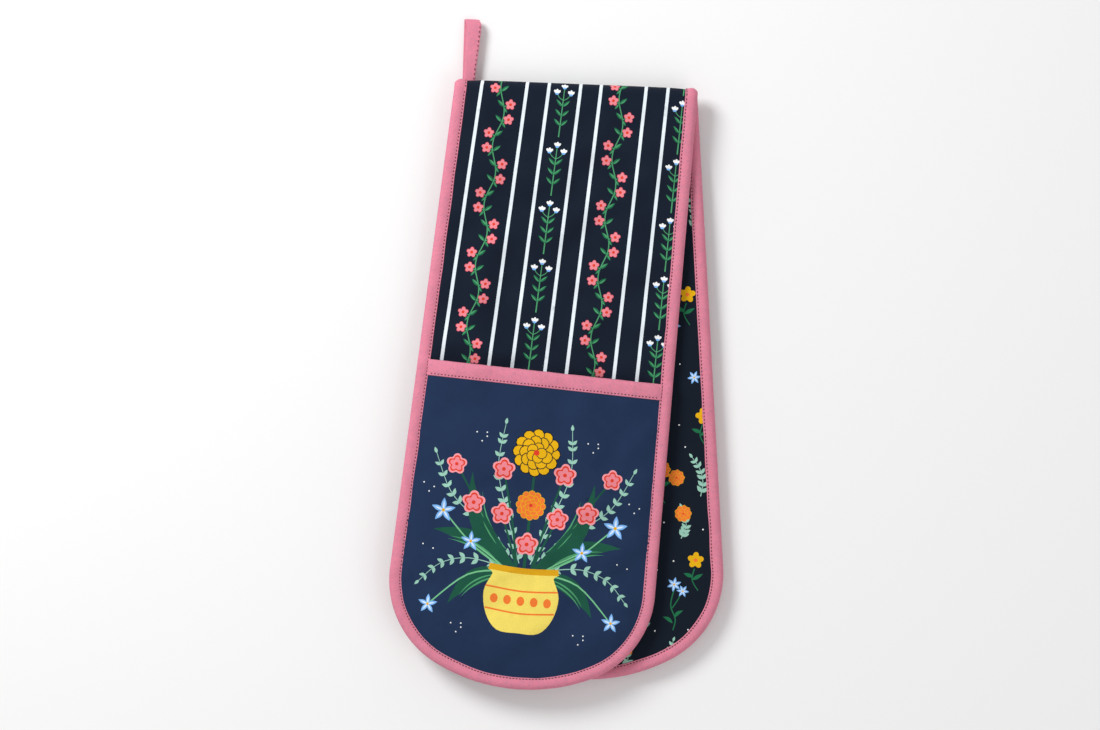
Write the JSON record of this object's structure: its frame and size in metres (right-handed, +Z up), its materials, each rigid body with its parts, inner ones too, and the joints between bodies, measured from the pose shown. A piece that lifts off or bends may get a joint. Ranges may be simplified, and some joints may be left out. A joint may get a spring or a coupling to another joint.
{
  "type": "double oven glove",
  "caption": "Double oven glove: a padded strip with a hand pocket at each end, folded in half and lying flat, with a hanging loop at the fold.",
  "frame": {"origin": "middle of the glove's footprint, on the surface it lies on", "axes": "+X along the fold, from the side with the hanging loop to the other; +Y from the hand ends to the fold; +Z up"},
  "size_m": [0.241, 0.4824, 0.0314],
  "materials": {
    "striped_cotton": "matt navy cotton with narrow pale stripes, vines and sprigs",
    "floral_cotton": "matt dark navy cotton with scattered flowers",
    "pocket_print_cotton": "matt navy cotton with a garden print",
    "lining_cotton": "matt plain navy cotton",
    "wadding": "soft matt off-white fibre",
    "pink_tape": "matt pink cotton bias tape",
    "maroon_thread": "slightly glossy maroon sewing thread"
  },
  "bodies": {
    "back_half": {"back_striped_cloth": "striped_cotton", "back_wadding": "wadding", "back_floral_cloth": "floral_cotton", "back_edge_binding": "pink_tape", "back_edge_stitching": "maroon_thread", "back_pocket_seam": "pocket_print_cotton", "fold_striped_cloth": "striped_cotton", "fold_wadding": "wadding", "fold_floral_cloth": "floral_cotton", "fold_edge_binding": "pink_tape", "fold_edge_stitching": "maroon_thread", "loop_ends": "pink_tape"},
    "back_pocket": {"back_pocket_print": "pocket_print_cotton", "back_pocket_wadding": "wadding", "back_pocket_lining": "lining_cotton", "back_mouth_binding": "pink_tape", "back_mouth_stitching": "maroon_thread"},
    "front_half": {"front_striped_cloth": "striped_cotton", "front_wadding": "wadding", "front_floral_cloth": "floral_cotton", "front_edge_binding": "pink_tape", "front_edge_stitching": "maroon_thread", "front_pocket_seam": "pocket_print_cotton"},
    "front_pocket": {"front_pocket_print": "pocket_print_cotton", "front_pocket_wadding": "wadding", "front_pocket_lining": "lining_cotton", "front_mouth_binding": "pink_tape", "front_mouth_stitching": "maroon_thread"},
    "loop": {"hanging_loop": "pink_tape", "loop_stitching": "maroon_thread"}
  },
  "joints": [
    {"name": "fold", "type": "hinge", "parent": "back_half", "child": "front_half", "pos_m": [0.00028, 0.19678, 0.0157], "axis": [-1, 0, 0], "range_deg": [0, 180], "deforming": ["fold_striped_cloth", "fold_wadding", "fold_floral_cloth", "fold_edge_binding", "fold_edge_stitching"]},
    {"name": "front_pocket_open", "type": "hinge", "parent": "front_half", "child": "front_pocket", "pos_m": [-0.02916, -0.23089, 0.0275], "axis": [0.9976, -0.0698, 0], "range_deg": [0, 8]},
    {"name": "back_pocket_open", "type": "hinge", "parent": "back_half", "child": "back_pocket", "pos_m": [0.02916, -0.22291, 0.0039], "axis": [-0.9976, -0.0698, 0], "range_deg": [0, 8]},
    {"name": "loop_swing", "type": "hinge", "parent": "back_half", "child": "loop", "pos_m": [-0.07672, 0.19218, 0.00415], "axis": [-1, 0, 0], "range_deg": [0, 100]}
  ]
}
